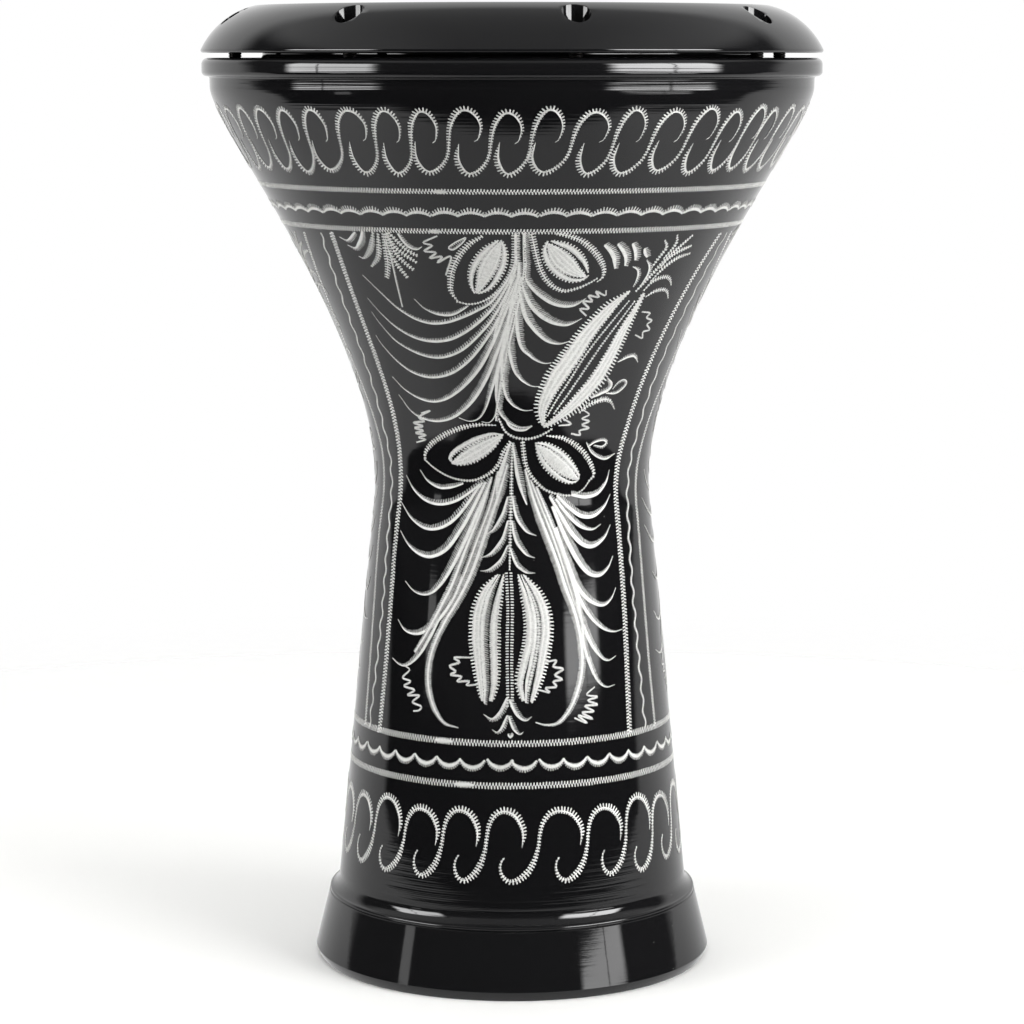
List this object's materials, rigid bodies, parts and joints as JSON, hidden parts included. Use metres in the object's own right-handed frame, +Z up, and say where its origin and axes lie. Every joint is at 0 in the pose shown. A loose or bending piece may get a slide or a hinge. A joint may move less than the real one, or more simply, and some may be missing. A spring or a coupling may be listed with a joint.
{
  "type": "goblet drum",
  "caption": "Cast aluminium goblet drum: flared bowl on a tapered stem and foot bell, with a rounded tuning ring clamping a film head by recessed screws.",
  "frame": {"origin": "centre of the foot's resting face", "axes": "+Z up along the drum's axis from the foot to the head, -Y towards the front of the decoration"},
  "size_m": [0.28, 0.28, 0.4361],
  "materials": {
    "shell_lacquer": "gloss",
    "ring_lacquer": "gloss",
    "film": "satin",
    "hoop": "satin",
    "screws": "satin",
    "washers": "satin"
  },
  "bodies": {
    "shell": {"shell": "shell_lacquer", "head_film": "film"},
    "ring": {"tuning_ring": "ring_lacquer", "head_hoop": "hoop", "bolt_washer_1": "washers", "bolt_washer_2": "washers", "bolt_washer_3": "washers", "bolt_washer_4": "washers", "bolt_washer_5": "washers", "bolt_washer_6": "washers", "bolt_washer_7": "washers", "bolt_washer_8": "washers"},
    "bolt_1": {"tension_bolt_1": "screws"},
    "bolt_2": {"tension_bolt_2": "screws"},
    "bolt_3": {"tension_bolt_3": "screws"},
    "bolt_4": {"tension_bolt_4": "screws"},
    "bolt_5": {"tension_bolt_5": "screws"},
    "bolt_6": {"tension_bolt_6": "screws"},
    "bolt_7": {"tension_bolt_7": "screws"},
    "bolt_8": {"tension_bolt_8": "screws"}
  },
  "joints": [
    {"name": "ring_travel", "type": "slide", "parent": "shell", "child": "ring", "axis": [0, 0, 1], "range_m": [-0.0015, 0.003]},
    {"name": "bolt_1_turn", "type": "hinge", "parent": "ring", "child": "bolt_1", "pos_m": [0.02654, -0.12276, 0.42096], "axis": [0, 0, 1], "range_deg": [-540, 1080]},
    {"name": "bolt_2_turn", "type": "hinge", "parent": "ring", "child": "bolt_2", "pos_m": [0.10558, -0.06804, 0.42096], "axis": [0, 0, 1], "range_deg": [-540, 1080]},
    {"name": "bolt_3_turn", "type": "hinge", "parent": "ring", "child": "bolt_3", "pos_m": [0.12276, 0.02654, 0.42096], "axis": [0, 0, 1], "range_deg": [-540, 1080]},
    {"name": "bolt_4_turn", "type": "hinge", "parent": "ring", "child": "bolt_4", "pos_m": [0.06804, 0.10558, 0.42096], "axis": [0, 0, 1], "range_deg": [-540, 1080]},
    {"name": "bolt_5_turn", "type": "hinge", "parent": "ring", "child": "bolt_5", "pos_m": [-0.02654, 0.12276, 0.42096], "axis": [0, 0, 1], "range_deg": [-540, 1080]},
    {"name": "bolt_6_turn", "type": "hinge", "parent": "ring", "child": "bolt_6", "pos_m": [-0.10558, 0.06804, 0.42096], "axis": [0, 0, 1], "range_deg": [-540, 1080]},
    {"name": "bolt_7_turn", "type": "hinge", "parent": "ring", "child": "bolt_7", "pos_m": [-0.12276, -0.02654, 0.42096], "axis": [0, 0, 1], "range_deg": [-540, 1080]},
    {"name": "bolt_8_turn", "type": "hinge", "parent": "ring", "child": "bolt_8", "pos_m": [-0.06804, -0.10558, 0.42096], "axis": [0, 0, 1], "range_deg": [-540, 1080]}
  ],
  "couplings": [
    {"joint": "bolt_1_turn", "follows": "ring_travel", "rad_per_m": 6283.2},
    {"joint": "bolt_2_turn", "follows": "ring_travel", "rad_per_m": 6283.2},
    {"joint": "bolt_3_turn", "follows": "ring_travel", "rad_per_m": 6283.2},
    {"joint": "bolt_4_turn", "follows": "ring_travel", "rad_per_m": 6283.2},
    {"joint": "bolt_5_turn", "follows": "ring_travel", "rad_per_m": 6283.2},
    {"joint": "bolt_6_turn", "follows": "ring_travel", "rad_per_m": 6283.2},
    {"joint": "bolt_7_turn", "follows": "ring_travel", "rad_per_m": 6283.2},
    {"joint": "bolt_8_turn", "follows": "ring_travel", "rad_per_m": 6283.2}
  ]
}
